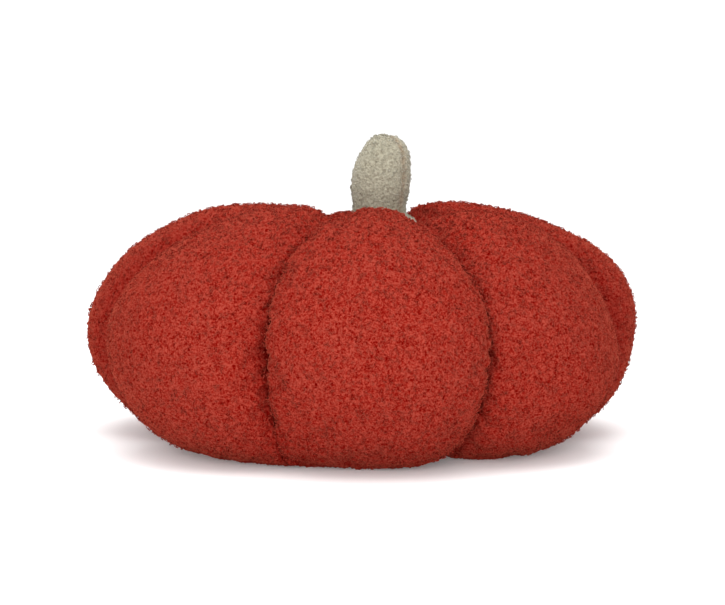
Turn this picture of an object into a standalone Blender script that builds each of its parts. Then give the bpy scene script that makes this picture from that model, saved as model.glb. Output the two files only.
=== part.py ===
"""Fabric pumpkin: six filled gores sewn edge to edge round a centre, and a stuffed stem sewn over the top.

Metres, +Z up. The front of the cushion faces -Y. The origin is on the floor, under the middle of the
object's box. Each gore is a loft of meridian sections between the two seam planes that it is sewn along.
"""

import math
from dataclasses import dataclass

import bmesh
import bpy
import numpy as np

MM = 0.001

COLLECTION_NAME = "fabric_pumpkin"

# The upright line where the six gores meet, from the middle of the object's box, in mm.
CENTRE_X = 10.5
CENTRE_Y = -2.1

# Pieces that lie against each other stay this far apart, in mm.
PIECE_GAP = 0.3

# The gathered centre of the top, drawn flat under the stem's foot, and of the underside, in mm.
SEAT_RADIUS = 31.0
SEAT_HEIGHT = 157.0
UNDERSIDE_CENTRE_HEIGHT = 30.0

# A filled gore would reach this far under the floor, in mm. The floor presses it flat there.
FLOOR_PRESS = 4.0
FLOOR_INNER_RADIUS = 60.0

SECTIONS_PER_GORE = 17

# Rows along a section, for each of its arcs from the top centre round to the centre of the underside.
SEAT_ROWS = 2
SHOULDER_ROWS = 5
UPPER_ROWS = 10
LOWER_ROWS = 10
FLOOR_ROWS = 2
UNDERSIDE_ROWS = 5

# The stem's foot, in mm from the middle of the object's box, and its oval section.
STEM_X = 13.5
STEM_Y = -3.6
STEM_DEPTH_SHARE = 0.94
STEM_SIDES = 18


@dataclass(frozen=True)
class Lobe:
    """The fullest section of one gore. Radii are from the centre line and heights from the floor, in mm.

    The gore's fullness falls to nothing at its seams along a power of a cosine. The power is given for the
    left and the right side at the belly, with what is added to it at the crown.
    """

    name: str
    reach: float
    belly_height: float
    crown_radius: float
    crown_height: float
    floor_radius: float
    upper_fullness: float
    lower_fullness: float
    left_power: float
    right_power: float
    crown_power: float


@dataclass(frozen=True)
class Seam:
    """The seam on the left of the gore of the same row. Azimuth 0 faces the front, and it grows to the right."""

    azimuth: float
    reach: float
    belly_height: float
    crown_radius: float
    crown_height: float
    floor_radius: float
    floor_height: float


@dataclass(frozen=True)
class StemRing:
    """One level of the stem above its foot: half its width, and how far its middle leans to the right, in mm."""

    height: float
    half_width: float
    lean: float


LOBES = (
    Lobe("gore_front", 191, 85, 69, 175, 92, 2.05, 1.75, 0.75, 0.80, 0.35),
    Lobe("gore_front_right", 184, 68, 80, 171.5, 98, 1.80, 1.75, 0.65, 0.50, 0.00),
    Lobe("gore_back_right", 209, 89, 51, 173.5, 100, 2.05, 2.30, 0.55, 0.85, 0.00),
    Lobe("gore_back", 196, 86, 78, 165, 96, 2.00, 2.00, 0.95, 0.95, 0.20),
    Lobe("gore_back_left", 231, 77, 105, 171.5, 122, 1.90, 1.90, 0.95, 0.60, 0.20),
    Lobe("gore_front_left", 204, 80, 63, 175.5, 106, 1.85, 1.90, 0.50, 0.75, 0.25),
)

SEAMS = (
    Seam(-26, 159, 84, 79, 157, 136, 4),
    Seam(28, 153, 86, 64, 144, 62, 14),
    Seam(87, 136, 84, 81, 157, 82, 14),
    Seam(161, 148, 84, 76, 154, 84, 14),
    Seam(210, 154, 84, 76, 154, 84, 14),
    Seam(273, 134, 84, 68, 155, 102, 10),
)
SEAM_FULLNESS = 2.0

# The foot's hem flares, the middle swells, and the top is rounder on its left.
STEM_RINGS = (
    StemRing(0, 27.0, 0.0),
    StemRing(5, 27.4, 0.2),
    StemRing(7.5, 26.0, 0.2),
    StemRing(9.5, 20.6, 0.4),
    StemRing(14, 18.8, 0.6),
    StemRing(20, 19.5, 0.7),
    StemRing(28, 21.2, 0.9),
    StemRing(38, 21.1, 1.5),
    StemRing(46, 20.3, 2.4),
    StemRing(55, 18.6, 3.9),
    StemRing(63, 14.2, 4.4),
    StemRing(67.5, 8.2, 3.8),
)
STEM_HEIGHT = 68.5

FABRICS = {
    "rust_teddy": ((0.43, 0.045, 0.027, 1.0), 0.95),
    "taupe_boucle": ((0.40, 0.34, 0.26, 1.0), 0.95),
}


def clear_scene():
    """Removes the objects that the scene opened with."""
    for found in list(bpy.data.objects):
        bpy.data.objects.remove(found, do_unlink=True)


def make_material(name):
    """A rough, non-metallic cloth of the fabric's colour."""
    colour, roughness = FABRICS[name]
    material = bpy.data.materials.new(name)
    material.use_nodes = True
    shader = material.node_tree.nodes["Principled BSDF"]
    shader.inputs["Base Color"].default_value = colour
    shader.inputs["Roughness"].default_value = roughness
    shader.inputs["Metallic"].default_value = 0.0
    material.diffuse_color = colour
    return material


def quarter(rows, fullness):
    """Sine and cosine of a quarter turn, raised so that 2 gives an ellipse and more gives a fuller arc."""
    turn = np.linspace(0, math.pi / 2, rows, endpoint=False)
    return np.sin(turn) ** (2 / fullness), np.cos(turn) ** (2 / fullness)


def section(reach, belly, crown_radius, crown, floor_radius, floor, upper_fullness, lower_fullness):
    """Radius and height along a section: seat, shoulder, crown to belly, belly to floor, floor, underside."""
    seat_radius = np.linspace(0, SEAT_RADIUS, SEAT_ROWS, endpoint=False)
    seat = np.column_stack([seat_radius, np.full(SEAT_ROWS, SEAT_HEIGHT)])

    share = np.linspace(0, 1, SHOULDER_ROWS, endpoint=False)
    shoulder = np.column_stack([
        SEAT_RADIUS + (crown_radius - SEAT_RADIUS) * share,
        SEAT_HEIGHT + (crown - SEAT_HEIGHT) * (1 - np.cos(share * math.pi)) / 2,
    ])

    sine, cosine = quarter(UPPER_ROWS, upper_fullness)
    upper = np.column_stack([crown_radius + (reach - crown_radius) * sine, belly + (crown - belly) * cosine])

    sine, cosine = quarter(LOWER_ROWS, lower_fullness)
    lower = np.column_stack([
        floor_radius + (reach - floor_radius) * cosine,
        belly - (belly - floor) * sine,
    ])

    share = np.linspace(0, 1, FLOOR_ROWS, endpoint=False)
    ground = np.column_stack([
        floor_radius + (FLOOR_INNER_RADIUS - floor_radius) * share,
        np.full(FLOOR_ROWS, float(floor)),
    ])

    share = np.linspace(0, 1, UNDERSIDE_ROWS)
    underside = np.column_stack([
        FLOOR_INNER_RADIUS * np.cos(share * math.pi / 2),
        floor + (UNDERSIDE_CENTRE_HEIGHT - floor) * (1 - np.cos(share * math.pi)) / 2,
    ])
    return np.concatenate([seat, shoulder, upper, lower, ground, underside])


def lobe_section(lobe):
    """The section down the middle of a gore, before the floor presses it flat."""
    return section(
        lobe.reach, lobe.belly_height, lobe.crown_radius, lobe.crown_height,
        lobe.floor_radius, -FLOOR_PRESS, lobe.upper_fullness, lobe.lower_fullness,
    )


def seam_section(seam):
    """The section along a seam, drawn in from the lobes on both sides of it."""
    return section(
        seam.reach, seam.belly_height, seam.crown_radius, seam.crown_height,
        seam.floor_radius, seam.floor_height, SEAM_FULLNESS, SEAM_FULLNESS,
    )


def crease_power(lobe, share, height):
    """The power of the crease in each row of a section, at its share of the way from the left seam to the right."""
    climb = np.clip((height - lobe.belly_height) / (lobe.crown_height - lobe.belly_height), 0, 1)
    climb[:SEAT_ROWS + SHOULDER_ROWS] = 1
    return lobe.left_power * (1 - share) + lobe.right_power * share + lobe.crown_power * climb ** 2


def gore_sections(lobe, seam, next_seam):
    """Points of the gore as an array of sections, rows and coordinates, in mm."""
    start, end = seam.azimuth, next_seam.azimuth
    if end < start:
        end += 360
    turn = np.linspace(-math.pi / 2, math.pi / 2, SECTIONS_PER_GORE)
    across = np.sin(turn)
    share = ((across + 1) / 2)[:, None, None]
    lobe_rows = lobe_section(lobe)
    power = crease_power(lobe, share, lobe_rows[:, 1])[:, 0]
    fullness = np.clip(np.cos(turn), 0, 1)[:, None] ** power
    sewn = seam_section(seam) * (1 - share) + seam_section(next_seam) * share
    filled = sewn + (lobe_rows - sewn) * fullness[..., None]
    radius = filled[..., 0]
    height = np.maximum(filled[..., 1], 0)

    middle = math.radians((start + end) / 2)
    half_angle = math.radians((end - start) / 2)
    azimuth = (middle + across * half_angle)[:, None]
    outward = PIECE_GAP / 2 / math.sin(half_angle)
    x = CENTRE_X + radius * np.sin(azimuth) + outward * math.sin(middle)
    y = CENTRE_Y - radius * np.cos(azimuth) - outward * math.cos(middle)
    return np.stack([x, y, height], axis=-1)


def add_object(name, mesh_data, material, collection):
    """Turns a closed bmesh into a smooth object of the collection."""
    bmesh.ops.recalc_face_normals(mesh_data, faces=mesh_data.faces)
    mesh = bpy.data.meshes.new(name)
    mesh_data.to_mesh(mesh)
    mesh_data.free()
    mesh.shade_smooth()
    mesh.materials.append(material)
    made = bpy.data.objects.new(name, mesh)
    collection.objects.link(made)
    return made


def add_gore(lobe, seam, next_seam, material, collection):
    """Lofts one gore: its puffed face from seam to seam, and a flat wall in each seam plane."""
    points = gore_sections(lobe, seam, next_seam) * MM
    loft = bmesh.new()
    top = loft.verts.new(points[0, 0])
    bottom = loft.verts.new(points[0, -1])
    sections = [[loft.verts.new(point) for point in row[1:-1]] for row in points]
    for left, right in zip(sections, sections[1:]):
        loft.faces.new([top, left[0], right[0]])
        for row in range(len(left) - 1):
            loft.faces.new([left[row], left[row + 1], right[row + 1], right[row]])
        loft.faces.new([left[-1], bottom, right[-1]])
    for wall in (sections[0], sections[-1]):
        loft.faces.new([top, *wall, bottom])
    made = add_object(lobe.name, loft, material, collection)
    made.data.set_sharp_from_angle(angle=math.radians(50))
    return made


def add_stem(material, collection):
    """Lofts the stem's rings into a cage with a flat foot, and rounds it with one subdivision."""
    loft = bmesh.new()
    turn = np.linspace(0, 2 * math.pi, STEM_SIDES, endpoint=False)
    foot_height = SEAT_HEIGHT + PIECE_GAP
    rings = []
    for ring in STEM_RINGS:
        x = STEM_X + ring.lean + ring.half_width * np.cos(turn)
        y = STEM_Y + ring.half_width * STEM_DEPTH_SHARE * np.sin(turn)
        z = np.full(STEM_SIDES, foot_height + ring.height)
        rings.append([loft.verts.new(point) for point in np.column_stack([x, y, z]) * MM])
    tip_x = STEM_X + STEM_RINGS[-1].lean
    tip = loft.verts.new((tip_x * MM, STEM_Y * MM, (foot_height + STEM_HEIGHT) * MM))
    for low, high in zip(rings, rings[1:]):
        for side in range(STEM_SIDES):
            after = (side + 1) % STEM_SIDES
            loft.faces.new([low[side], low[after], high[after], high[side]])
    for side in range(STEM_SIDES):
        loft.faces.new([rings[-1][side], rings[-1][(side + 1) % STEM_SIDES], tip])
    foot = loft.faces.new(rings[0])
    crease = loft.edges.layers.float.new("crease_edge")
    for edge in foot.edges:
        edge[crease] = 1.0
    made = add_object("stem", loft, material, collection)
    rounding = made.modifiers.new("rounding", "SUBSURF")
    rounding.levels = 1
    rounding.render_levels = 1
    return made


def main():
    """Builds the six gores and the stem."""
    clear_scene()
    collection = bpy.data.collections.new(COLLECTION_NAME)
    bpy.context.scene.collection.children.link(collection)
    rust = make_material("rust_teddy")
    taupe = make_material("taupe_boucle")
    for index, lobe in enumerate(LOBES):
        add_gore(lobe, SEAMS[index], SEAMS[(index + 1) % len(SEAMS)], rust, collection)
    add_stem(taupe, collection)


main()
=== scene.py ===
"""Looks of a fabric pumpkin: a rust-red teddy cushion of six sewn gores, with a stuffed boucle stem.

Metres, +Z up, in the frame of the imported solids, with the front of the cushion facing -Y. The cloth of a
gore is a grid: its columns run across from seam to seam, and its rows along from the top centre round to
the centre of the underside. The filling is simulated on a coarse copy of the grid, and the curly pile is
raised on the fine one.
"""

import logging
import math
from dataclasses import dataclass, field
from enum import Enum
from itertools import product
from typing import Any

import bpy
import numpy as np
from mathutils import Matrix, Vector


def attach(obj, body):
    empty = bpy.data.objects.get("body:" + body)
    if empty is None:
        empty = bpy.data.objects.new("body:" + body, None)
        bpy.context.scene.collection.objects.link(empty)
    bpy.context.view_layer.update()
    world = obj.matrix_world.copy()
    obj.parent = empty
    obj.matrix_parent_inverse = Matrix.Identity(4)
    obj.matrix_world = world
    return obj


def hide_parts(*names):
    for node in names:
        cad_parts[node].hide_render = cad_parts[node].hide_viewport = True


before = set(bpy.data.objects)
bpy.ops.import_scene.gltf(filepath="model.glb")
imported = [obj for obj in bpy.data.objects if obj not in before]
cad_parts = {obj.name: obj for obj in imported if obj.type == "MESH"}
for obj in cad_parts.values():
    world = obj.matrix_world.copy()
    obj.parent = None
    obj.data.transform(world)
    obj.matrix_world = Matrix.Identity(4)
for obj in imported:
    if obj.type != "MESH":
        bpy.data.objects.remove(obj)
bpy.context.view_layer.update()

MM = 0.001
SEAT_LEVEL = 0.55  # stray curls stand where the pile is higher than this
BODY = "root"
LOG = logging.getLogger("pumpkin")

Array = np.ndarray
Inputs = dict[str | int, Any]


class Slot(Enum):
    """The record's material slots."""

    RUST = "rust_teddy"
    TAUPE = "taupe_boucle"


# Random numbers on a lattice, and the noise that is made from them

CORNERS = np.array(list(product((0, 1), repeat=3)))
NEIGHBOURS = np.array(list(product((-1, 0, 1), repeat=3)))
CELL_JITTER = 0.9


def lattice_random(cells: Array, seed: int) -> Array:
    """Gives every cell of a lattice its own number.

    Each whole coordinate is multiplied by a large odd number, the products are joined by exclusive or, and
    the bits are mixed by shifts and two more products.

    Args:
        cells: Whole coordinates, three to a cell.
        seed: Chooses one of many unlike sets of numbers.

    Returns:
        A number from 0 to 1 for each cell.
    """
    x, y, z = (cells[..., axis].astype(np.uint32) for axis in range(3))
    mixed = x * np.uint32(73856093) ^ y * np.uint32(19349663) ^ z * np.uint32(83492791)
    mixed = mixed ^ np.uint32((seed * 2654435 + 977) & 0xFFFFFFFF)
    mixed = (mixed ^ (mixed >> np.uint32(15))) * np.uint32(2246822519)
    mixed = (mixed ^ (mixed >> np.uint32(13))) * np.uint32(3266489917)
    return (mixed ^ (mixed >> np.uint32(16))).astype(np.float64) / 2.0**32


def smooth_noise(points: Array, size: float, seed: int) -> Array:
    """Smooth random waves: lattice numbers at a cell's eight corners, blended by a fifth-power step.

    Args:
        points: Places, three coordinates each.
        size: Side of a lattice cell, in the same unit.
        seed: Chooses the lattice numbers.

    Returns:
        A value from -1 to 1 for each place.
    """
    scaled = points / size
    cell = np.floor(scaled).astype(np.int64)
    part = scaled - cell
    step = part**3 * (part * (part * 6 - 15) + 10)
    total = np.zeros(points.shape[:-1])
    for corner in CORNERS:
        weight = np.prod(np.where(corner == 1, step, 1 - step), axis=-1)
        total += weight * lattice_random(cell + corner, seed)
    return total * 2 - 1


def cell_distances(points: Array, size: float, seed: int) -> tuple[Array, Array]:
    """Distances to the nearest and the second nearest of points scattered one to a lattice cell.

    Args:
        points: Places, three coordinates each.
        size: Side of a lattice cell, in the same unit.
        seed: Chooses where in its cell each point lies.

    Returns:
        The two distances for each place, as shares of the cell's side.
    """
    scaled = points / size
    cell = np.floor(scaled).astype(np.int64)
    nearest = np.full(points.shape[:-1], 9.0)
    second = nearest.copy()
    for offset in NEIGHBOURS:
        near = cell + offset
        scatter = np.stack([lattice_random(near, seed + axis) for axis in range(3)], axis=-1)
        apart = np.linalg.norm(scaled - near - 0.5 - CELL_JITTER * (scatter - 0.5), axis=-1)
        second = np.minimum(second, np.maximum(nearest, apart))
        nearest = np.minimum(nearest, apart)
    return nearest, second


def soft_step(value: Array, low: float, high: float) -> Array:
    """Rises from 0 at low to 1 at high with level ends."""
    share = np.clip((value - low) / (high - low), 0, 1)
    return share * share * (3 - 2 * share)


def unit(vectors: Array) -> Array:
    """The vectors at length 1."""
    return vectors / np.maximum(np.linalg.norm(vectors, axis=-1, keepdims=True), 1e-12)


def arc_lengths(line: Array) -> Array:
    """Distance along a line of points, from its first point to each."""
    return np.concatenate([[0], np.cumsum(np.linalg.norm(np.diff(line, axis=0), axis=1))])


def blend_weights(coarse: int, fine: int) -> Array:
    """Weights that read a smooth curve through evenly spaced values at more places.

    Each fine place lies between two coarse ones and takes the cubic through them and their neighbours.

    Args:
        coarse: Number of values.
        fine: Number of places, from the first value to the last.

    Returns:
        An array of fine rows and coarse columns.
    """
    place = np.linspace(0, coarse - 1, fine)
    left = np.minimum(place.astype(int), coarse - 2)
    t = place - left
    shares = (
        (-1, (-t**3 + 2 * t**2 - t) / 2),
        (0, (3 * t**3 - 5 * t**2 + 2) / 2),
        (1, (-3 * t**3 + 4 * t**2 + t) / 2),
        (2, (t**3 - t**2) / 2),
    )
    weights = np.zeros((fine, coarse))
    for offset, share in shares:
        np.add.at(weights, (np.arange(fine), np.clip(left + offset, 0, coarse - 1)), share)
    return weights


# Meshes


def make_object(
    name: str, points: Array, faces: list[Array], material: bpy.types.Material
) -> bpy.types.Object:
    """Puts points and faces into a smooth mesh object at the origin.

    Args:
        name: The piece's name.
        points: One row of coordinates for each point.
        faces: Arrays of point numbers, one row to a face.
        material: The finish.

    Returns:
        The object, linked to the scene.
    """
    corners = np.concatenate([group.ravel() for group in faces])
    sizes = np.concatenate([np.full(len(group), group.shape[1]) for group in faces])
    starts = np.concatenate([[0], np.cumsum(sizes)[:-1]])
    mesh = bpy.data.meshes.new(name)
    mesh.vertices.add(len(points))
    mesh.vertices.foreach_set("co", points.astype(np.float32).ravel())
    mesh.loops.add(len(corners))
    mesh.loops.foreach_set("vertex_index", corners.astype(np.int32))
    mesh.polygons.add(len(sizes))
    mesh.polygons.foreach_set("loop_start", starts.astype(np.int32))
    mesh.update(calc_edges=True)
    mesh.shade_smooth()
    mesh.materials.append(material)
    made = bpy.data.objects.new(name, mesh)
    bpy.context.scene.collection.objects.link(made)
    return made


def add_attribute(piece: bpy.types.Object, name: str, values: Array) -> None:
    """Stores one number for each point of the piece, for its material to read."""
    attribute = piece.data.attributes.new(name, "FLOAT", "POINT")
    attribute.data.foreach_set("value", values.astype(np.float32).ravel())


def grid_normals(grid: Array) -> Array:
    """Outward normals of a grid: its slope along the rows crossed with its slope across the columns."""
    across, along = np.gradient(grid, axis=(0, 1))
    return unit(np.cross(along, across))


def grid_faces(number: Array) -> Array:
    """Faces between neighbouring columns and rows of point numbers, with their outer side forward."""
    corners = (number[:-1, :-1], number[:-1, 1:], number[1:, 1:], number[1:, :-1])
    return np.stack(corners, axis=-1).reshape(-1, 4)


# Finishes


@dataclass(frozen=True)
class Level:
    """A number that varies over a surface. Arithmetic on it adds Math nodes."""

    sheet: "NodeSheet"
    socket: bpy.types.NodeSocket

    def join(self, operation: str, *others: Any) -> "Level":
        """Adds a Math node that takes this number and the others."""
        return self.sheet.math(operation, self, *others)

    def __add__(self, other: Any) -> "Level":
        """This plus the other."""
        return self.join("ADD", other)

    def __radd__(self, other: Any) -> "Level":
        """The other plus this."""
        return self.join("ADD", other)

    def __sub__(self, other: Any) -> "Level":
        """This less the other."""
        return self.join("SUBTRACT", other)

    def __rsub__(self, other: Any) -> "Level":
        """The other less this."""
        return self.sheet.math("SUBTRACT", other, self)

    def __mul__(self, other: Any) -> "Level":
        """This times the other."""
        return self.join("MULTIPLY", other)

    def __rmul__(self, other: Any) -> "Level":
        """The other times this."""
        return self.join("MULTIPLY", other)

    def __abs__(self) -> "Level":
        """This without its sign."""
        return self.join("ABSOLUTE")


class NodeSheet:
    """The nodes of one material, or of the world."""

    def __init__(self, owner: bpy.types.Material | bpy.types.World) -> None:
        """Clears the owner's nodes."""
        owner.use_nodes = True
        self.tree = owner.node_tree
        self.tree.nodes.clear()

    def node(self, kind: str, settings: dict[str, Any] | None = None, inputs: Inputs | None = None) -> Any:
        """Adds a node.

        Args:
            kind: The node's type.
            settings: Its settings, set first. The stops of a ramp are pairs of a place and a colour.
            inputs: Values or links of its sockets, by name or number.

        Returns:
            The node.
        """
        made = self.tree.nodes.new(kind)
        for name, value in (settings or {}).items():
            if name == "stops":
                elements = made.color_ramp.elements
                while len(elements) < len(value):
                    elements.new(0.5)
                for element, (place, colour) in zip(elements, value):
                    element.position, element.color = place, (*colour, 1.0)
            else:
                setattr(made, name, value)
        for name, value in (inputs or {}).items():
            socket = made.inputs[name]
            source = value.socket if isinstance(value, Level) else value
            if isinstance(source, bpy.types.NodeSocket):
                self.tree.links.new(source, socket)
            else:
                socket.default_value = source
        return made

    def math(self, operation: str, *values: Any) -> Level:
        """Adds a Math node on numbers or levels."""
        made = self.node("ShaderNodeMath", {"operation": operation}, dict(enumerate(values)))
        return Level(self, made.outputs[0])

    def vector(self, operation: str, first: Any, second: Any) -> bpy.types.NodeSocket:
        """Adds a Vector Math node. The second value is a number where the first is scaled."""
        number = "Scale" if operation == "SCALE" else 1
        made = self.node("ShaderNodeVectorMath", {"operation": operation}, {0: first, number: second})
        return made.outputs[0]

    def noise(self, place: Any, size: float, detail: float) -> bpy.types.Node:
        """Adds smooth noise whose waves are about the size, in the unit of the place."""
        return self.node(
            "ShaderNodeTexNoise",
            {"noise_dimensions": "3D"},
            {"Vector": place, "Scale": 1 / size, "Detail": detail, "Roughness": 0.55},
        )

    def waves(self, place: Any, size: float, detail: float) -> Level:
        """Adds the same noise as one number, from 0 to 1."""
        return Level(self, self.noise(place, size, detail).outputs[0])

    def cells(self, place: Any, size: float) -> Level:
        """Adds the distance to points scattered one to a cell of this size."""
        made = self.node("ShaderNodeTexVoronoi", {"feature": "F1"}, {"Vector": place, "Scale": 1 / size})
        return Level(self, made.outputs["Distance"])

    def attribute(self, name: str) -> Level:
        """Adds a number that is stored on the piece."""
        return Level(self, self.node("ShaderNodeAttribute", {"attribute_name": name}).outputs["Fac"])

    def spread(self, value: Any, low: float, high: float) -> Level:
        """Maps the value's stretch from low to high on 0 to 1, and holds it there."""
        made = self.node(
            "ShaderNodeMapRange",
            {"interpolation_type": "SMOOTHSTEP"},
            {"Value": value, "From Min": low, "From Max": high},
        )
        return Level(self, made.outputs[0])

    def mix(self, factor: Any, first: Any, second: Any, blend: str = "MIX") -> bpy.types.NodeSocket:
        """Mixes two colours."""
        settings = {"data_type": "RGBA", "blend_type": blend}
        return self.node("ShaderNodeMix", settings, {0: factor, 6: first, 7: second}).outputs[2]


@dataclass(frozen=True)
class CurlyCloth:
    """A cloth of short curly pile.

    Attributes:
        name: The finish's name.
        crevice: Colour deep between the curls, painted shade.
        shade: Colour on the curls' flanks.
        body: Colour of the curls.
        tip: Colour of the fibre ends that catch the light.
        dusty: Colour that wear turns the tips to.
        creased: What the colour is multiplied by deep in a crease: painted shade.
        curl: Size of a curl in millimetres.
        fibre: Size of the fibres in millimetres.
        relief: Height of the curls in the bump, in metres.
        sheen: Weight of the fuzz that catches light at a low angle.
        sheen_tint: Its colour.
        sheen_roughness: How far the fuzz spreads the light.
        patch: Size of the patches that wear makes, in millimetres.
        wear: How far the most worn tips turn dusty.
    """

    name: str
    crevice: tuple[float, float, float]
    shade: tuple[float, float, float]
    body: tuple[float, float, float]
    tip: tuple[float, float, float]
    dusty: tuple[float, float, float]
    creased: tuple[float, float, float]
    curl: float
    fibre: float
    relief: float
    sheen: float
    sheen_tint: tuple[float, float, float]
    sheen_roughness: float = 0.25
    patch: float = 45.0
    wear: float = 0.22

    def material(self) -> bpy.types.Material:
        """Builds the material.

        Curls are rounded cells joined by the ridges of a folded noise, where its value passes its middle, and
        fine noise gives the fibres. The narrow pits between them are the ridges of a second folded noise,
        broken up by a third. The curls, the pits and the height of the modelled pile together choose the
        colour, dark in the pits and low pile as painted shade and light on the high tips as painted
        highlight, and slow noise makes patches a little duller or fuller. An attribute then multiplies the
        colour darker in creases and hollows, as painted shade. The bump takes all but the pits.

        Returns:
            The material.
        """
        material = bpy.data.materials.new(self.name)
        sheet = NodeSheet(material)
        place = sheet.vector("SCALE", sheet.node("ShaderNodeTexCoord").outputs["Object"], 1 / MM)
        around = sheet.noise(place, self.curl * 1.3, 1.0).outputs["Color"]
        push = sheet.vector("SUBTRACT", around, (0.5, 0.5, 0.5))
        bent = sheet.vector("ADD", place, sheet.vector("SCALE", push, self.curl * 1.5))
        folded = sheet.waves(bent, self.curl * 1.1, 1.0)
        ridges = 1 - sheet.spread(abs(folded - 0.5), 0.0, 0.16)
        knots = 1 - sheet.spread(sheet.cells(bent, self.curl), 0.1, 0.8)
        fibres = sheet.spread(sheet.waves(bent, self.fibre, 1.0), 0.3, 0.7)
        strokes = sheet.waves(bent, self.curl * 1.3, 1.0)
        broken = sheet.spread(sheet.waves(place, self.curl * 1.7, 0.0), 0.42, 0.58)
        pits = (1 - sheet.spread(abs(strokes - 0.5), 0.0, 0.05)) * broken
        raised = 0.08 * ridges + 0.20 * knots + 0.52 * fibres
        curls = raised - 0.58 * pits + 0.30
        # Painted shade and highlight: low pile and pits take the dark crevice colour, high pile the light tip
        # colour.
        tone = 0.24 * sheet.attribute("pile") + 0.92 * curls - 0.07
        stops = ((0.14, self.crevice), (0.36, self.shade), (0.60, self.body), (0.88, self.tip))
        colour = sheet.node("ShaderNodeValToRGB", {"stops": stops}, {0: tone}).outputs[0]
        patches = sheet.spread(sheet.waves(place, self.patch, 3.0), 0.35, 0.65)
        colour = sheet.mix(self.wear * patches * sheet.spread(tone, 0.4, 0.9), colour, (*self.dusty, 1.0))
        # Painted shade: the colour is multiplied darker where the piece's attribute marks creases and
        # hollows.
        colour = sheet.mix(sheet.attribute("creased"), colour, (*self.creased, 1.0), "MULTIPLY")
        bump = sheet.node("ShaderNodeBump", {}, {"Strength": 1.0, "Distance": self.relief, "Height": raised})
        shader = sheet.node(
            "ShaderNodeBsdfPrincipled",
            {},
            {
                "Base Color": colour,
                "Roughness": 0.98 - 0.14 * curls,
                "Normal": bump.outputs[0],
                "Specular IOR Level": 0.0,
                "Sheen Weight": self.sheen,
                "Sheen Roughness": self.sheen_roughness,
                "Sheen Tint": (*self.sheen_tint, 1.0),
            },
        )
        sheet.node("ShaderNodeOutputMaterial", {}, {"Surface": shader.outputs[0]})
        return material


RUST_TEDDY = CurlyCloth(
    name="rust_teddy_pile",
    crevice=(0.115, 0.0005, 0.0002),
    shade=(0.145, 0.0030, 0.0014),
    body=(0.196, 0.0120, 0.0070),
    tip=(0.268, 0.0365, 0.0235),
    dusty=(0.245, 0.042, 0.028),
    # Painted shade: the deep red that creases, low cloth and hollows are multiplied by.
    creased=(0.60, 0.03, 0.03),
    curl=2.0,
    fibre=1.15,
    relief=0.0004,
    sheen=0.22,
    sheen_tint=(1.0, 0.26, 0.15),
)

TAUPE_BOUCLE = CurlyCloth(
    name="taupe_boucle_pile",
    crevice=(0.165, 0.143, 0.103),
    shade=(0.230, 0.206, 0.152),
    body=(0.280, 0.256, 0.191),
    tip=(0.328, 0.306, 0.238),
    dusty=(0.260, 0.262, 0.184),
    # Painted shade: the darker, pinker colour that the stem's seam groove is multiplied by.
    creased=(0.92, 0.80, 0.74),
    curl=1.8,
    fibre=1.05,
    relief=0.0006,
    sheen=0.45,
    sheen_tint=(1.0, 0.97, 0.9),
)


@dataclass(frozen=True)
class Pile:
    """A cloth's curly pile. Sizes are in metres.

    Attributes:
        clump: Distance from one clump of curls to the next.
        curl: Distance from one curl to the next.
        depth: How far a crevice lies under the tips.
        stand: How far the tips stand over the solid's outline.
        seed: Chooses where the clumps lie.
        border: Differences of the two nearest distances between which a knob rises from its border.
    """

    clump: float
    curl: float
    depth: float
    stand: float
    seed: int
    border: tuple[float, float] = (-0.25, 0.40)

    def height(self, points: Array) -> Array:
        """How high the pile stands, from 0 in a crevice to 1 on a tip.

        Smooth noise first pushes the points about, so that no clump is round. A clump stands high near
        its scattered point and falls off at the border with its neighbour, where the two distances are
        alike. The curls are the same at a smaller size, roughened by smooth noise, and the whole is bent so
        that the pits are narrow and the tops broad.

        Args:
            points: Places on the cloth.

        Returns:
            A height for each place.
        """
        seeds = range(self.seed + 11, self.seed + 14)
        push = np.stack([smooth_noise(points, self.clump * 0.8, seed) for seed in seeds], axis=-1)
        warped = points + push * self.clump * 0.35
        clumps = self.knobs(warped, self.clump, self.seed, 0.8)
        curls = self.knobs(warped, self.curl, self.seed + 5, 1.0)
        rough = smooth_noise(warped, self.curl * 0.8, self.seed + 8)
        height = np.clip(0.25 * clumps + 0.75 * curls + 0.12 * rough + 0.05, 0, 1)
        return 1 - (1 - height) ** 1.4

    def knobs(self, points: Array, size: float, seed: int, fall: float) -> Array:
        """Knobs that fall off with the square of the distance, and to nothing at their borders."""
        near, second = cell_distances(points, size, seed)
        return (1 - fall * near**2) * soft_step(second - near, *self.border)

    def offset(self, height: Array) -> Array:
        """How far the pile's surface lies over the solid's outline at a height from 0 to 1."""
        return self.stand - self.depth * (1 - height)


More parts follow.
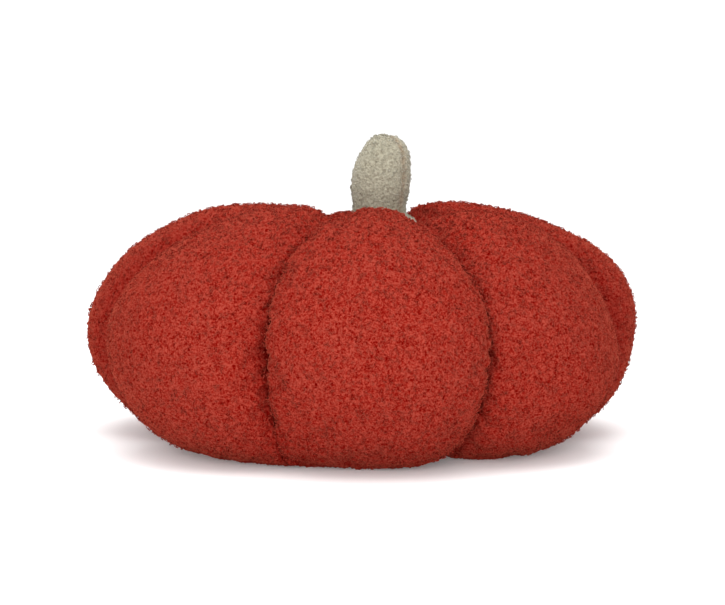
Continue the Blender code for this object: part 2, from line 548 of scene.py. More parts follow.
@dataclass(frozen=True)
class StrayCurls:
    """Curls that stand out of the pile. Sizes are in metres.

    Attributes:
        count: How many stand on one piece.
        radius: The smallest and the largest curl's radius.
        yarn: The radius of the yarn.
        seed: Chooses their places.
        rings: Rings of points along a curl.
        sides: Points in a ring.
        tilt: Spread of the directions in which they lean.
        bend: Where a curl starts and ends, in half circles.
    """

    count: int
    radius: tuple[float, float]
    yarn: float
    seed: int
    rings: int = 4
    sides: int = 3
    tilt: float = 0.3
    bend: tuple[float, float] = (-0.2, 1.15)

    def build(
        self, name: str, seats: Array, normals: Array, material: bpy.types.Material
    ) -> bpy.types.Object:
        """Builds the curls as one mesh.

        A curl is two thirds of a circle that stands on the pile: its line is the seat plus the radius times
        the cosine of the turn along the cloth and the sine along the normal. Rings of yarn are carried
        along it, thinner towards both ends, and closed there.

        Args:
            name: The piece's name.
            seats: Points where curls may stand.
            normals: The pile's normal at each.
            material: The finish.

        Returns:
            The mesh object.
        """
        dice = np.random.default_rng(self.seed)
        chosen = dice.choice(len(seats), self.count, replace=False)
        normal = unit(normals[chosen] + dice.normal(0, self.tilt, (self.count, 3)))
        along = unit(np.cross(normal, dice.normal(0, 1, normal.shape)))
        side = np.cross(normal, along)
        radius = dice.uniform(*self.radius, (self.count, 1, 1))
        start, end = self.bend
        turn = np.linspace(start * math.pi, end * math.pi, self.rings)[None, :, None]
        outward = np.cos(turn) * along[:, None] + np.sin(turn) * normal[:, None]
        line = seats[chosen][:, None] + radius * outward
        taper = 0.5 + 0.5 * np.sin(np.linspace(0, math.pi, self.rings))
        spin = np.linspace(0, 2 * math.pi, self.sides, endpoint=False)[None, None, :, None]
        ring = np.cos(spin) * outward[:, :, None] + np.sin(spin) * side[:, None, None]
        points = line[:, :, None] + self.yarn * taper[None, :, None, None] * ring
        number = np.arange(points[..., 0].size).reshape(points.shape[:3])
        after = np.roll(number, -1, axis=2)
        walls = np.stack([number[:, :-1], after[:, :-1], after[:, 1:], number[:, 1:]], axis=-1).reshape(-1, 4)
        ends = [number[:, 0, ::-1], number[:, -1]]
        piece = make_object(name, points.reshape(-1, 3), [walls, *ends], material)
        # Painted highlight: the stray curls take mostly the light tip colour.
        add_attribute(piece, "pile", np.full(points[..., 0].size, 0.95))
        return piece


# The cushion


@dataclass(frozen=True)
class Centre:
    """Where the gores meet, and how their cloth ends there. Sizes in millimetres."""

    x: float = 10.5
    y: float = -2.1
    seat_radius: float = 31.0
    seat_height: float = 157.0
    underside_height: float = 30.0
    floor_inner_radius: float = 60.0
    floor_press: float = 4.0
    gap: float = 0.3


@dataclass(frozen=True)
class Lobe:
    """The fullest section of one gore. Radii and heights in millimetres."""

    name: str
    reach: float
    belly_height: float
    crown_radius: float
    crown_height: float
    floor_radius: float
    upper_fullness: float
    lower_fullness: float
    left_power: float
    right_power: float
    crown_power: float


@dataclass(frozen=True)
class Seam:
    """The seam on the left of the gore of the same row. Azimuth 0 faces the front and grows to the right."""

    azimuth: float
    reach: float
    belly_height: float
    crown_radius: float
    crown_height: float
    floor_radius: float
    floor_height: float
    upper_fullness: float = 2.0
    lower_fullness: float = 2.0


CENTRE = Centre()
LOBES = (
    Lobe("gore_front", 191, 85, 69, 175, 104, 2.05, 1.75, 0.75, 0.80, 0.35),
    Lobe("gore_front_right", 184, 68, 80, 171.5, 98, 1.80, 1.75, 0.65, 0.50, 0.00),
    Lobe("gore_back_right", 209, 89, 51, 173.5, 100, 2.05, 2.30, 0.55, 0.85, 0.00),
    Lobe("gore_back", 196, 86, 78, 165, 96, 2.00, 2.00, 0.95, 0.95, 0.20),
    Lobe("gore_back_left", 231, 77, 105, 171.5, 122, 1.90, 1.90, 0.95, 0.60, 0.20),
    Lobe("gore_front_left", 204, 80, 63, 175.5, 106, 1.85, 1.90, 0.50, 0.75, 0.25),
)
SEAMS = (
    Seam(-26, 159, 84, 79, 157, 136, 4),
    Seam(28, 153, 86, 64, 144, 62, 14),
    Seam(87, 136, 84, 81, 157, 82, 14),
    Seam(161, 148, 84, 76, 154, 84, 14),
    Seam(210, 154, 84, 76, 154, 84, 14),
    Seam(273, 134, 84, 68, 155, 102, 10),
)

ARC_STEPS = 48
HIDDEN_SHARE = 0.3


def section(shape: Lobe | Seam, floor: float) -> tuple[Array, Array]:
    """Radius and height along a section, from the top centre round to the centre of the underside.

    Its arcs are the flat seat under the stem, a shoulder that rises as half a cosine wave, a quarter of a
    superellipse from crown to belly and another from belly to floor, the floor, and half a cosine wave up
    to the underside's centre.

    Args:
        shape: The lobe or seam whose sizes the section takes.
        floor: Height of its lowest stretch.

    Returns:
        Rows of radius and height in millimetres, and for each row 1 where the cloth shows and a smaller
        number where it is hidden.
    """
    share = np.linspace(0, 1, ARC_STEPS, endpoint=False)
    level = np.ones(ARC_STEPS)
    wave = (1 - np.cos(share * math.pi)) / 2
    turn = share * math.pi / 2
    upper, lower = 2 / shape.upper_fullness, 2 / shape.lower_fullness
    seat, inner = CENTRE.seat_radius, CENTRE.floor_inner_radius
    crown, reach, foot = shape.crown_radius, shape.reach, shape.floor_radius
    top, belly = shape.crown_height, shape.belly_height
    arcs = (
        (seat * share, CENTRE.seat_height * level),
        (seat + (crown - seat) * share, CENTRE.seat_height + (top - CENTRE.seat_height) * wave),
        (crown + (reach - crown) * np.sin(turn) ** upper, belly + (top - belly) * np.cos(turn) ** upper),
        (foot + (reach - foot) * np.cos(turn) ** lower, belly - (belly - floor) * np.sin(turn) ** lower),
        (foot + (inner - foot) * share, floor * level),
        (inner * np.cos(turn), floor + (CENTRE.underside_height - floor) * wave),
    )
    rows = np.vstack([*(np.column_stack(arc) for arc in arcs), [0, CENTRE.underside_height]])
    shown = np.repeat((HIDDEN_SHARE, 1, 1, 1, HIDDEN_SHARE, HIDDEN_SHARE), ARC_STEPS)
    return rows, np.append(shown, HIDDEN_SHARE)


@dataclass(frozen=True)
class Filling:
    """How hard the filling pushes the cloth out. Sizes in metres.

    Attributes:
        columns: Columns of the simulated grid.
        rows: Rows of the simulated grid.
        slack: How far inside the outline the cloth starts.
        pressure: The cloth's inner pressure.
        growth: How much larger than its starting shape the cloth is cut.
        frames: Frames simulated.
        cap: The furthest that a point may end from the solid's outline.
        held_radius: Cloth nearer the centre line than this is held, at the top and under the cushion.
        loose_columns: Columns from a seam over which the cloth comes to its full slack.
        slow_rows: Rows over which a change counts as slow.
        quality: Steps of the simulation in a frame.
        mass: Mass of a point of the cloth, in kilograms.
        stretch_stiffness: How hard the cloth is to stretch.
        shear_stiffness: How hard it is to pull askew.
        bending_stiffness: How hard it is to bend.
    """

    columns: int = 30
    rows: int = 64
    slack: float = 0.001
    pressure: float = 4.0
    growth: float = 0.05
    frames: int = 20
    cap: float = 0.003
    held_radius: float = 0.045
    loose_columns: int = 3
    slow_rows: int = 7
    quality: int = 6
    mass: float = 0.15
    stretch_stiffness: float = 20
    shear_stiffness: float = 8
    bending_stiffness: float = 1.2

    def hang(self, name: str, cloth: bpy.types.Object, held: Array) -> None:
        """Gives a closed cloth its weave, its pressure and the points that are held."""
        pins = cloth.vertex_groups.new(name="held")
        pins.add(held.tolist(), 1.0, "REPLACE")
        modifier = cloth.modifiers.new(name, "CLOTH")
        settings = modifier.settings
        settings.quality = self.quality
        settings.mass = self.mass
        settings.tension_stiffness = settings.compression_stiffness = self.stretch_stiffness
        settings.shear_stiffness = self.shear_stiffness
        settings.bending_stiffness = self.bending_stiffness
        settings.vertex_group_mass = "held"
        settings.use_pressure = True
        settings.uniform_pressure_force = self.pressure
        settings.shrink_min = -self.growth
        settings.effector_weights.gravity = 0
        modifier.collision_settings.use_collision = False
        modifier.point_cache.frame_end = self.frames


@dataclass
class Gore:
    """One gore of the cushion: its cloth, its filling and its pile.

    Attributes:
        lobe: Its fullest section.
        seam: The seam on its left.
        next_seam: The seam on its right.
        seed: Chooses its lumps and stray curls.
        columns: Columns of the fine grid, from seam to seam.
        rows: Rows of the fine grid, from the top centre to the centre of the underside.
        lump: Height of the filling's slow lumps, in metres.
        lump_size: Distance between lumps.
        pucker: Depth of the gathers beside the seams.
        pucker_length: Distance from one gather to the next.
        pucker_reach: How far from the seam the gathers fade out.
        seam_band: Width beside the seam where the pile is held down by the stitches.
        crease_shade_widths: Widths beside the seam of the much and the little painted shade of the crease.
        low_height: Height from the floor where painted shade begins to darken the cloth.
        sunk: How far under the gore's fullest section painted shade begins and ends to darken the cloth.
        crease_shade_strengths: How far each painted shade, much, little, low and sunk, darkens the colour.
        open_radius: Distances from the centre line between which lumps and gathers grow to their height.
        open_height: The same for heights over the floor.
        drawn: How far the stitches draw the cloth in at the seam.
        clear_radius: Stray curls stand further than this from the centre line, clear of the stem.
        clear_seam: They stand further than this from a seam.
        clear_floor: They stand higher than this.
        moved: How far the simulation moved each point of the coarse cloth.
    """

    lobe: Lobe
    seam: Seam
    next_seam: Seam
    seed: int
    columns: int = 156
    rows: int = 340
    lump: float = 0.0015
    lump_size: float = 0.055
    pucker: float = 0.0012
    pucker_length: float = 0.017
    pucker_reach: float = 0.016
    seam_band: float = 0.003
    crease_shade_widths: tuple[float, float] = (0.005, 0.022)
    low_height: float = 0.07
    sunk: tuple[float, float] = (0.014, 0.050)
    crease_shade_strengths: tuple[float, float, float, float] = (0.6, 0.15, 0.10, 0.6)
    open_radius: tuple[float, float] = (0.032, 0.05)
    open_height: tuple[float, float] = (0.002, 0.02)
    drawn: float = 0.0003
    clear_radius: float = 0.045
    clear_seam: float = 0.003
    clear_floor: float = 0.008
    moved: Array = field(default_factory=lambda: np.zeros((4, 4, 3)))

    def angles(self) -> tuple[float, float]:
        """Azimuth of the gore's middle, and half of its width, in radians."""
        width = (self.next_seam.azimuth - self.seam.azimuth) % 360
        return math.radians(self.seam.azimuth + width / 2), math.radians(width / 2)

    def surface(self, turn: Array, filled: Array, left: Array, right: Array) -> Array:
        """Points of the gore in metres, at each turn across it and each row along it.

        The sine of the turn is the place from seam to seam, and its cosine to the crease's power the
        fullness. The power goes evenly from the left side's to the right side's, and grows above the belly
        by the crown's power times the square of the height. Radius and height go from the seams' to the
        lobe's by the fullness. The azimuth goes evenly from seam to seam, and the gore stands off its seam
        planes by half of the gap between pieces.

        Args:
            turn: From minus to plus a quarter of a circle.
            filled: Radius and height of the middle section's rows.
            left: The same of the left seam.
            right: The same of the right seam.

        Returns:
            An array of columns, rows and coordinates.
        """
        middle, half = self.angles()
        across = np.sin(turn)[:, None]
        share = (across[..., None] + 1) / 2
        lobe = self.lobe
        climb = np.clip((filled[:, 1] - lobe.belly_height) / (lobe.crown_height - lobe.belly_height), 0, 1)
        climb = np.where(filled[:, 0] < lobe.crown_radius, filled[:, 1] > lobe.belly_height, climb)
        power = lobe.left_power * (1 - share) + lobe.right_power * share
        power = power + lobe.crown_power * climb[:, None] ** 2
        fullness = np.clip(np.cos(turn), 0, 1)[:, None, None] ** power
        sewn = left[None] * (1 - share) + right[None] * share
        radius, height = np.moveaxis(sewn + (filled[None] - sewn) * fullness, -1, 0)
        azimuth = middle + across * half
        off = CENTRE.gap / 2 / math.sin(half)
        x = CENTRE.x + radius * np.sin(azimuth) + off * math.sin(middle)
        y = CENTRE.y - radius * np.cos(azimuth) - off * math.cos(middle)
        return np.stack([x, y, np.maximum(height, 0)], axis=-1) * MM

    def grid(self, columns: int, rows: int) -> Array:
        """The cloth on the solid's outline, evenly spaced along the gore and across its belly."""
        filled, shown = section(self.lobe, -CENTRE.floor_press)
        left, _ = section(self.seam, self.seam.floor_height)
        right, _ = section(self.next_seam, self.next_seam.floor_height)
        steps = np.concatenate([[0], np.cumsum(np.diff(arc_lengths(filled)) * shown[1:])])
        number = np.interp(np.linspace(0, steps[-1], rows), steps, np.arange(len(steps)))
        whole = np.arange(len(steps))
        filled, left, right = (
            np.column_stack([np.interp(number, whole, line[:, axis]) for axis in (0, 1)])
            for line in (filled, left, right)
        )
        belly = int(np.argmax(filled[:, 0]))
        turn = np.linspace(-math.pi / 2, math.pi / 2, 400)
        line = self.surface(turn, *(rows_of[belly : belly + 1] for rows_of in (filled, left, right)))[:, 0]
        length = arc_lengths(line)
        turn = np.interp(np.linspace(0, length[-1], columns), length, turn)
        return self.surface(turn, filled, left, right)

    def spine(self, rows: int) -> Array:
        """The inner edge, where the two seam planes meet, from top to bottom."""
        middle, half = self.angles()
        off = CENTRE.gap / 2 / math.sin(half)
        height = np.linspace(CENTRE.seat_height, CENTRE.underside_height, rows)
        x = np.full(rows, CENTRE.x + off * math.sin(middle))
        y = np.full(rows, CENTRE.y - off * math.cos(middle))
        return np.column_stack([x, y, height]) * MM

    def close(self, name: str, grid: Array, material: bpy.types.Material) -> bpy.types.Object:
        """Closes the cloth with a wall in each seam plane and one point at each pole.

        Args:
            name: The object's name.
            grid: The cloth.
            material: The finish.

        Returns:
            The mesh object. Its points are the grid's without its first and last row, column by column,
            and then the spine's, which holds both poles.
        """
        columns, rows = grid.shape[:2]
        inner = rows - 2
        spine = columns * inner + np.arange(rows)
        number = np.empty((columns, rows), int)
        number[:, 1:-1] = np.arange(columns * inner).reshape(columns, inner)
        number[:, 0], number[:, -1] = spine[0], spine[-1]
        faces = [
            grid_faces(number[:, 1:-1]),
            np.stack([number[:-1, 0], number[:-1, 1], number[1:, 1]], axis=-1),
            np.stack([number[:-1, -2], number[:-1, -1], number[1:, -2]], axis=-1),
        ]
        for left, right in ((number[0], spine), (spine, number[-1])):
            faces.append(grid_faces(np.stack([right, left])[:, 1:-1]))
            faces.append(np.stack([spine[:1], right[1:2], left[1:2]], axis=-1))
            faces.append(np.stack([left[-2:-1], right[-2:-1], spine[-1:]], axis=-1))
        points = np.concatenate([grid[:, 1:-1].reshape(-1, 3), self.spine(rows)])
        return make_object(name, points, faces, material)

    def hang_cloth(self, filling: Filling, material: bpy.types.Material) -> bpy.types.Object:
        """Hangs the coarse cloth for the simulation, a little inside the outline.

        Args:
            filling: How the cloth is stuffed.
            material: The finish.

        Returns:
            The cloth, held along its seams, on the seat and under the cushion.
        """
        outline = self.grid(filling.columns, filling.rows)
        from_seam = np.minimum(np.arange(filling.columns), np.arange(filling.columns)[::-1])[:, None]
        radius = np.hypot(outline[..., 0] - CENTRE.x * MM, outline[..., 1] - CENTRE.y * MM)
        free = (from_seam > 0) & (radius > filling.held_radius) & (outline[..., 2] > 1 * MM)
        loose = soft_step(from_seam / filling.loose_columns, 0, 1) * free
        start = outline - filling.slack * loose[..., None] * grid_normals(outline)
        cloth = self.close("cloth_" + self.lobe.name, start, material)
        inner = free[:, 1:-1]
        spine = np.arange(inner.size, len(cloth.data.vertices))
        held = np.append(np.flatnonzero(~inner), spine)
        filling.hang("filling", cloth, held)
        return cloth

    def take_cloth(self, filling: Filling, cloth: bpy.types.Object) -> None:
        """Keeps how far the simulated cloth ended from the outline, and removes the cloth.

        The outline already has the filled shape, so the part of the move that changes slowly along the
        gore, a bell-shaped average over its rows, is taken out. The rest is shortened smoothly, so that it
        never passes the cap.

        Args:
            filling: How the cloth was stuffed.
            cloth: The simulated cloth, at its last frame.
        """
        shape = cloth.evaluated_get(bpy.context.evaluated_depsgraph_get()).data
        points = np.empty(len(shape.vertices) * 3)
        shape.vertices.foreach_get("co", points)
        outline = self.grid(filling.columns, filling.rows)
        ended = outline.copy()
        inner = ended[:, 1:-1]
        inner[...] = points.reshape(-1, 3)[: inner.shape[0] * inner.shape[1]].reshape(inner.shape)
        move = ended - outline
        rows = np.arange(filling.rows)
        bell = np.exp(-(((rows[:, None] - rows) / filling.slow_rows) ** 2))
        move = move - np.einsum("rk,ckx->crx", bell / bell.sum(axis=1, keepdims=True), move)
        length = np.linalg.norm(move, axis=-1, keepdims=True)
        self.moved = move * filling.cap * np.tanh(length / filling.cap) / np.maximum(length, 1e-9)
        mesh = cloth.data
        bpy.data.objects.remove(cloth)
        bpy.data.meshes.remove(mesh)

    def build(self, pile: Pile, curls: StrayCurls, material: bpy.types.Material) -> list[bpy.types.Object]:
        """Builds the gore with its pile, and its stray curls.

        The outline takes the simulated move, slow lumps, and gathers that fade out away from the seams. The
        pile then stands along the normal, lower where the stitches hold it, and nothing goes under the floor.

        Args:
            pile: The pile's sizes.
            curls: The stray curls' sizes.
            material: The finish.

        Returns:
            The gore and its curls.
        """
        grid = self.grid(self.columns, self.rows)
        across = blend_weights(self.moved.shape[0], self.columns)
        along = blend_weights(self.moved.shape[1], self.rows)
        grid = grid + np.einsum("ci,ijk,rj->crk", across, self.moved, along)
        normals = grid_normals(grid)
        gaps = [np.linalg.norm(grid - grid[edge][None], axis=-1) for edge in (0, -1)]
        from_seam = np.minimum(*gaps)
        radius = np.hypot(grid[..., 0] - CENTRE.x * MM, grid[..., 1] - CENTRE.y * MM)
        open_cloth = soft_step(radius, *self.open_radius) * soft_step(grid[..., 2], *self.open_height)
        lumps = smooth_noise(grid, self.lump_size, self.seed)
        lumps = lumps + 0.4 * smooth_noise(grid, self.lump_size / 2, self.seed)
        puckers = smooth_noise(grid, self.pucker_length, self.seed + 3)
        fade = np.exp(-((from_seam / self.pucker_reach) ** 2))
        rise = open_cloth * (self.lump * lumps * (1 - fade) + self.pucker * puckers * fade)
        height = pile.height(grid)
        held = soft_step(from_seam, 0, self.seam_band)
        grid = grid + normals * (rise + held * pile.offset(height) - (1 - held) * self.drawn)[..., None]
        grid[..., 2] = np.maximum(grid[..., 2], 0)
        gore = self.close(self.lobe.name + "_cloth", grid, material)
        # Painted shade: where the stitches hold the pile down, the stored pile is lower, so the colour there
        # is darker.
        shown = (0.25 + 0.75 * held) * height
        add_attribute(gore, "pile", np.append(shown[:, 1:-1].ravel(), np.zeros(self.rows)))
        # Painted shade: the colour is made darker and redder near the seams, low down by the floor and where
        # the cloth lies sunk under the gore's fullest section.
        low = 1 - soft_step(grid[..., 2], 0, self.low_height)
        core, side = (np.exp(-((from_seam / width) ** 2)) for width in self.crease_shade_widths)
        inward, under = (sizes.max(axis=0) - sizes for sizes in (radius, grid[..., 2]))
        sunk = soft_step(np.hypot(inward, under), *self.sunk)
        shares = zip(self.crease_shade_strengths, (core, side, low, sunk))
        creased = 1 - np.prod([1 - depth * share for depth, share in shares], axis=0)
        add_attribute(gore, "creased", np.append(creased[:, 1:-1].ravel(), np.ones(self.rows)))
        seats = (height > SEAT_LEVEL) & (from_seam > self.clear_seam)
        seats &= (radius > self.clear_radius) & (grid[..., 2] > self.clear_floor)
        strays = curls.build(self.lobe.name + "_curls", grid[seats], normals[seats], material)
        return [gore, strays]


# The stem


@dataclass(frozen=True)
class StemRing:
    """One level of the stem above its foot, in millimetres: half its width, and how far its middle leans."""

    height: float
    half_width: float
    lean: float


@dataclass
class Stem:
    """The stuffed stem on the middle of the cushion. Sizes in millimetres unless they say otherwise.

    Attributes:
        x: Place of its foot.
        y: Place of its foot.
        depth_share: Its depth as a share of its width.
        rings: Its levels.
        tip_height: Height of its rounded tip.
        columns: Points round it.
        rows: Points from the tip down to the foot and in to the foot's middle.
        seam_turn: Azimuth of its upright seam in degrees, from the front to the right.
        seam_depth: How deep the seam draws the cloth in.
        seam_width: Width of the drawn-in band.
        foot_rows: Rows that go in under the foot.
        lump: Height of the filling's lumps.
        lump_size: Distance between lumps.
        free_height: Height above the foot's edge at which the pile stands free.
        curl_height: Stray curls stand higher than this above the foot's edge.
        seed: Chooses the lumps.
    """

    x: float = 13.5
    y: float = -3.6
    depth_share: float = 0.94
    rings: tuple[StemRing, ...] = (
        StemRing(0, 27.0, 0.0),
        StemRing(5, 27.4, 0.2),
        StemRing(7.5, 26.0, 0.2),
        StemRing(9.5, 20.6, 0.4),
        StemRing(14, 18.8, 0.6),
        StemRing(20, 19.5, 0.7),
        StemRing(28, 21.2, 0.9),
        StemRing(38, 21.1, 1.5),
        StemRing(46, 20.2, 2.3),
        StemRing(55, 17.8, 3.9),
        StemRing(60, 15.6, 4.4),
        StemRing(64.5, 12.0, 4.2),
        StemRing(67.5, 7.2, 3.8),
    )
    tip_height: float = 68.5
    columns: int = 180
    rows: int = 126
    seam_turn: float = 52.0
    seam_depth: float = 0.7
    seam_width: float = 5.0
    foot_rows: int = 10
    lump: float = 0.4
    lump_size: float = 22.0
    free_height: float = 4.0
    curl_height: float = 6.0
    seed: int = 5

    def profile(self) -> Array:
        """Half width, height and lean down the stem, evenly spaced, from the tip to the foot's edge.

        The rings are joined by straight lines, mirrored beyond the tip so that it stays round, and
        smoothed by a bell-shaped average a few millimetres wide.

        Returns:
            One row for each level.
        """
        known = np.array([(ring.half_width, ring.height, ring.lean) for ring in self.rings])
        tip = np.array([[0, self.tip_height, known[-1, 2]]])
        mirrored = known[::-1][:3] * (-1, 1, 1)
        line = np.vstack([mirrored[::-1], tip, known[::-1]])
        length = arc_lengths(line[:, :2])
        fine = np.arange(0, length[-1], 0.25)
        line = np.column_stack([np.interp(fine, length, line[:, axis]) for axis in range(3)])
        bell = np.exp(-((np.arange(-16, 17) / 8.0) ** 2))
        bell = bell / bell.sum()
        padded = np.pad(line, ((16, 16), (0, 0)), mode="edge")
        smooth = np.column_stack([np.convolve(padded[:, axis], bell, "valid") for axis in range(3)])
        smooth = smooth[np.flatnonzero(smooth[:, 0] < 0)[-1] + 1 :]
        smooth[0, 0] = 0
        length = arc_lengths(smooth[:, :2])
        even = np.linspace(0, length[-1], self.rows - self.foot_rows)
        return np.column_stack([np.interp(even, length, smooth[:, axis]) for axis in range(3)])

    def grid(self) -> Array:
        """Points of the stem in metres: each level of the profile is carried round an oval.

        Returns:
            An array of columns, rows and coordinates. The last rows go in under the foot to its middle.
        """
        profile = self.profile()
        shrink = np.linspace(1, 0, self.foot_rows + 1)[1:, None]
        inward = profile[-1] * (1, 0, 1) * shrink ** (1, 1, 0)
        profile = np.vstack([profile, inward])
        azimuth = np.linspace(0, 2 * math.pi, self.columns, endpoint=False)[:, None]
        half_width, height, lean = profile.T
        x = self.x + lean + half_width * np.sin(azimuth)
        y = self.y - half_width * self.depth_share * np.cos(azimuth)
        z = np.broadcast_to(CENTRE.seat_height + CENTRE.gap + np.maximum(height, 0), x.shape)
        return np.stack([x, y, z], axis=-1) * MM

    def build(self, pile: Pile, curls: StrayCurls, material: bpy.types.Material) -> list[bpy.types.Object]:
        """Builds the stem with its seam and pile, and its stray curls.

        Args:
            pile: The pile's sizes.
            curls: The stray curls' sizes.
            material: The finish.

        Returns:
            The stem and its curls.
        """
        grid = self.grid()
        ring = np.concatenate([grid[-1:], grid, grid[:1]])
        normals = grid_normals(ring)[1:-1]
        height = pile.height(grid)
        azimuth = np.linspace(0, 360, self.columns, endpoint=False)[:, None]
        aside = (azimuth - self.seam_turn + 180) % 360 - 180
        x, y, _ = np.moveaxis(grid - grid.mean(axis=0), -1, 0)
        from_seam = np.abs(np.radians(aside)) * np.hypot(x, y)
        groove = np.exp(-((from_seam / (self.seam_width / 2 * MM)) ** 2))
        level = grid[..., 2] / MM - CENTRE.seat_height
        free = soft_step(level, 0.0, self.free_height)
        rise = -self.seam_depth * MM * groove + free * pile.offset(height)
        lumps = self.lump * MM * smooth_noise(grid, self.lump_size * MM, self.seed)
        grid = grid + normals * (rise + free * lumps)[..., None]
        grid[..., 2] = np.maximum(grid[..., 2], (CENTRE.seat_height + CENTRE.gap) * MM)
        number = np.arange(self.columns * (self.rows - 2)).reshape(self.columns, -1)
        poles = number.size + np.arange(2)
        closed = np.concatenate([number, number[:1]])
        faces = [
            grid_faces(closed),
            np.stack([np.full(self.columns, poles[0]), closed[:-1, 0], closed[1:, 0]], axis=-1),
            np.stack([closed[:-1, -1], np.full(self.columns, poles[1]), closed[1:, -1]], axis=-1),
        ]
        ends = grid[:, (0, -1)].mean(axis=0)
        points = np.concatenate([grid[:, 1:-1].reshape(-1, 3), ends])
        stem = make_object("stem_cloth", points, faces, material)
        # Painted shade: the seam groove is made darker and pinker, through a lower stored pile and the crease
        # attribute.
        shown = height * (1 - 0.5 * groove)
        add_attribute(stem, "pile", np.append(shown[:, 1:-1].ravel(), (0.7, 0.0)))
        add_attribute(stem, "creased", np.append(groove[:, 1:-1].ravel(), (0, 0)))
        seats = (height > SEAT_LEVEL) & (level > self.curl_height)
        strays = curls.build("stem_curls", grid[seats], normals[seats], material)
        return [stem, strays]


# The cushion as a whole, and the studio


@dataclass
class Pumpkin:
    """The cushion's six gores and its stem, in their two cloths."""

    filling: Filling = field(default_factory=Filling)
    teddy: Pile = Pile(clump=0.0054, curl=0.0026, depth=0.0025, stand=0.0006, seed=100)
    boucle: Pile = Pile(clump=0.0048, curl=0.0022, depth=0.0018, stand=0.0004, seed=300)
    fill: float = 0.9

    def stuff(self, gores: list[Gore], material: bpy.types.Material) -> None:
        """Simulates the filling of all gores side by side, and keeps what it did to each."""
        scene = bpy.context.scene
        cloths = [gore.hang_cloth(self.filling, material) for gore in gores]
        for frame_number in range(1, self.filling.frames + 1):
            scene.frame_set(frame_number)
        for gore, cloth in zip(gores, cloths):
            gore.take_cloth(self.filling, cloth)
            LOG.info("%s: cloth moved up to %.1f mm", gore.lobe.name, np.abs(gore.moved).max() / MM)
        scene.frame_set(1)

    def seat(self, pieces: list[bpy.types.Object], node: str, slot: Slot) -> None:
        """Makes the pieces ride on the body in place of the solid of this name."""
        for piece in pieces:
            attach(piece, BODY)
            piece.data.calc_loop_triangles()
            LOG.info("%s: %d triangles", piece.name, len(piece.data.loop_triangles))
        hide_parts(node)

    def build(self) -> None:
        """Builds the gores and the stem."""
        rust, taupe = RUST_TEDDY.material(), TAUPE_BOUCLE.material()
        turned = SEAMS[1:] + SEAMS[:1]
        gores = [Gore(*row, seed=20 * index) for index, row in enumerate(zip(LOBES, SEAMS, turned))]
        self.stuff(gores, rust)
        for index, gore in enumerate(gores):
            curls = StrayCurls(count=2500, radius=(0.0009, 0.0017), yarn=0.00044, seed=index)
            self.seat(gore.build(self.teddy, curls, rust), gore.lobe.name, Slot.RUST)
        curls = StrayCurls(count=500, radius=(0.0006, 0.0012), yarn=0.00034, seed=9)
        self.seat(Stem().build(self.boucle, curls, taupe), "stem", Slot.TAUPE)


@dataclass(frozen=True)
class Softbox:
    """An area light: its place, what it points at, its size in metres and its power in watts."""

    name: str
    place: tuple[float, float, float]
    target: tuple[float, float, float]
    size: float
    power: float


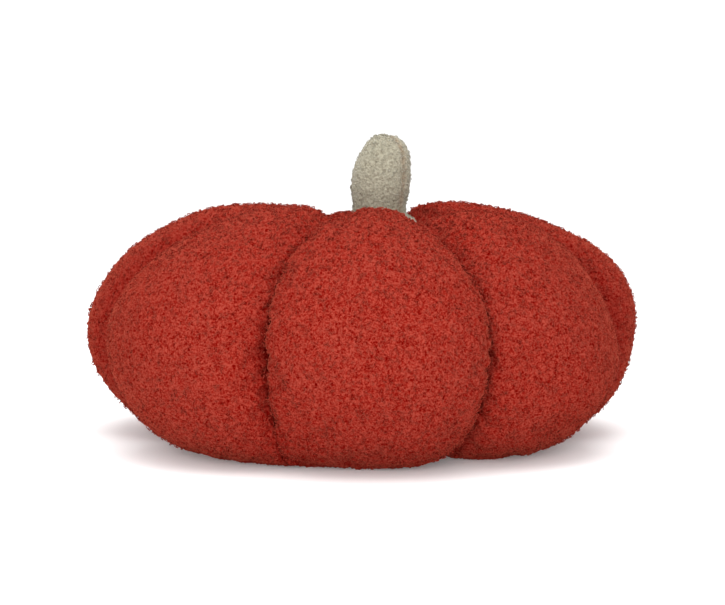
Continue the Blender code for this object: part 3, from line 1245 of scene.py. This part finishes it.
@dataclass(frozen=True)
class Studio:
    """The pale floor, the soft light and the camera."""

    softboxes: tuple[Softbox, ...] = (
        Softbox("front_softbox", (-0.15, -1.9, 0.3), (0.0, 0.0, 0.08), 1.2, 33.0),
        Softbox("top_softbox", (0.0, -0.3, 1.7), (0.0, 0.0, 0.1), 1.6, 23.0),
    )
    world_light: float = 1.2
    side_light: float = 0.65
    side_band: tuple[float, float] = (0.3, 1.0)
    floor_glow: float = 0.12
    floor_size: float = 40.0
    camera_place: tuple[float, float, float] = (0.0015, -1.6006, 0.25)
    camera_pitch: float = 5.25
    focal_pixels: float = 1600 / 0.73
    image_width: int = 725
    sensor_width: float = 36.0

    def build(self) -> None:
        """Adds the floor, the lights and the camera, and sets plain colour."""
        scene = bpy.context.scene
        scene.view_settings.view_transform = "Standard"
        self.add_floor()
        self.add_world(scene)
        for softbox in self.softboxes:
            self.add_light(softbox)
        self.add_camera(scene)

    def add_floor(self) -> None:
        """Adds a plain pale floor."""
        material = bpy.data.materials.new("studio_floor")
        sheet = NodeSheet(material)
        shader = sheet.node(
            "ShaderNodeBsdfPrincipled",
            {},
            {
                "Base Color": (0.95, 0.95, 0.95, 1.0),
                "Roughness": 0.9,
                "Specular IOR Level": 0.1,
                "Emission Color": (1.0, 1.0, 1.0, 1.0),
                "Emission Strength": self.floor_glow,
            },
        )
        sheet.node("ShaderNodeOutputMaterial", {}, {"Surface": shader.outputs[0]})
        half = self.floor_size / 2
        corners = np.array([(-half, -half, 0), (half, -half, 0), (half, half, 0), (-half, half, 0)])
        floor = make_object("studio_floor", corners, [np.array([[0, 1, 2, 3]])], material)

    def add_world(self, scene: bpy.types.Scene) -> None:
        """Lights the scene from all round with plain white, and less from the left and the right.

        The light of a direction falls from the world's to the sides' as the direction turns sideways. The
        backdrop itself looks white from everywhere.
        """
        world = bpy.data.worlds.new("studio_white")
        sheet = NodeSheet(world)
        direction = sheet.node("ShaderNodeTexCoord").outputs["Generated"]
        sideways = Level(sheet, sheet.node("ShaderNodeSeparateXYZ", {}, {0: direction}).outputs["X"])
        lost = self.world_light - self.side_light
        light = self.world_light - lost * sheet.spread(abs(sideways), *self.side_band)
        seen = Level(sheet, sheet.node("ShaderNodeLightPath").outputs["Is Camera Ray"])
        strength = sheet.math("MAXIMUM", light, seen)
        background = sheet.node(
            "ShaderNodeBackground", {}, {"Color": (1.0, 1.0, 1.0, 1.0), "Strength": strength}
        )
        sheet.node("ShaderNodeOutputWorld", {}, {"Surface": background.outputs[0]})
        scene.world = world

    def add_light(self, softbox: Softbox) -> None:
        """Adds one softbox."""
        light = bpy.data.lights.new(softbox.name, "AREA")
        light.size = softbox.size
        light.energy = softbox.power
        made = bpy.data.objects.new(softbox.name, light)
        made.location = softbox.place
        toward = Vector(softbox.target) - Vector(softbox.place)
        made.rotation_euler = toward.to_track_quat("-Z", "Y").to_euler()
        bpy.context.scene.collection.objects.link(made)

    def add_camera(self, scene: bpy.types.Scene) -> None:
        """Adds the camera of the photograph."""
        lens = bpy.data.cameras.new("camera")
        lens.sensor_width = self.sensor_width
        lens.lens = self.focal_pixels * self.sensor_width / self.image_width
        lens.clip_end = 50.0
        camera = bpy.data.objects.new("camera", lens)
        camera.location = self.camera_place
        camera.rotation_euler = (math.radians(90 - self.camera_pitch), 0, 0)
        scene.collection.objects.link(camera)
        scene.camera = camera


def main() -> None:
    """Builds the studio and the pumpkin."""
    logging.basicConfig(level=logging.INFO, format="%(message)s")
    Studio().build()
    Pumpkin().build()


if __name__ == "__main__":
    main()
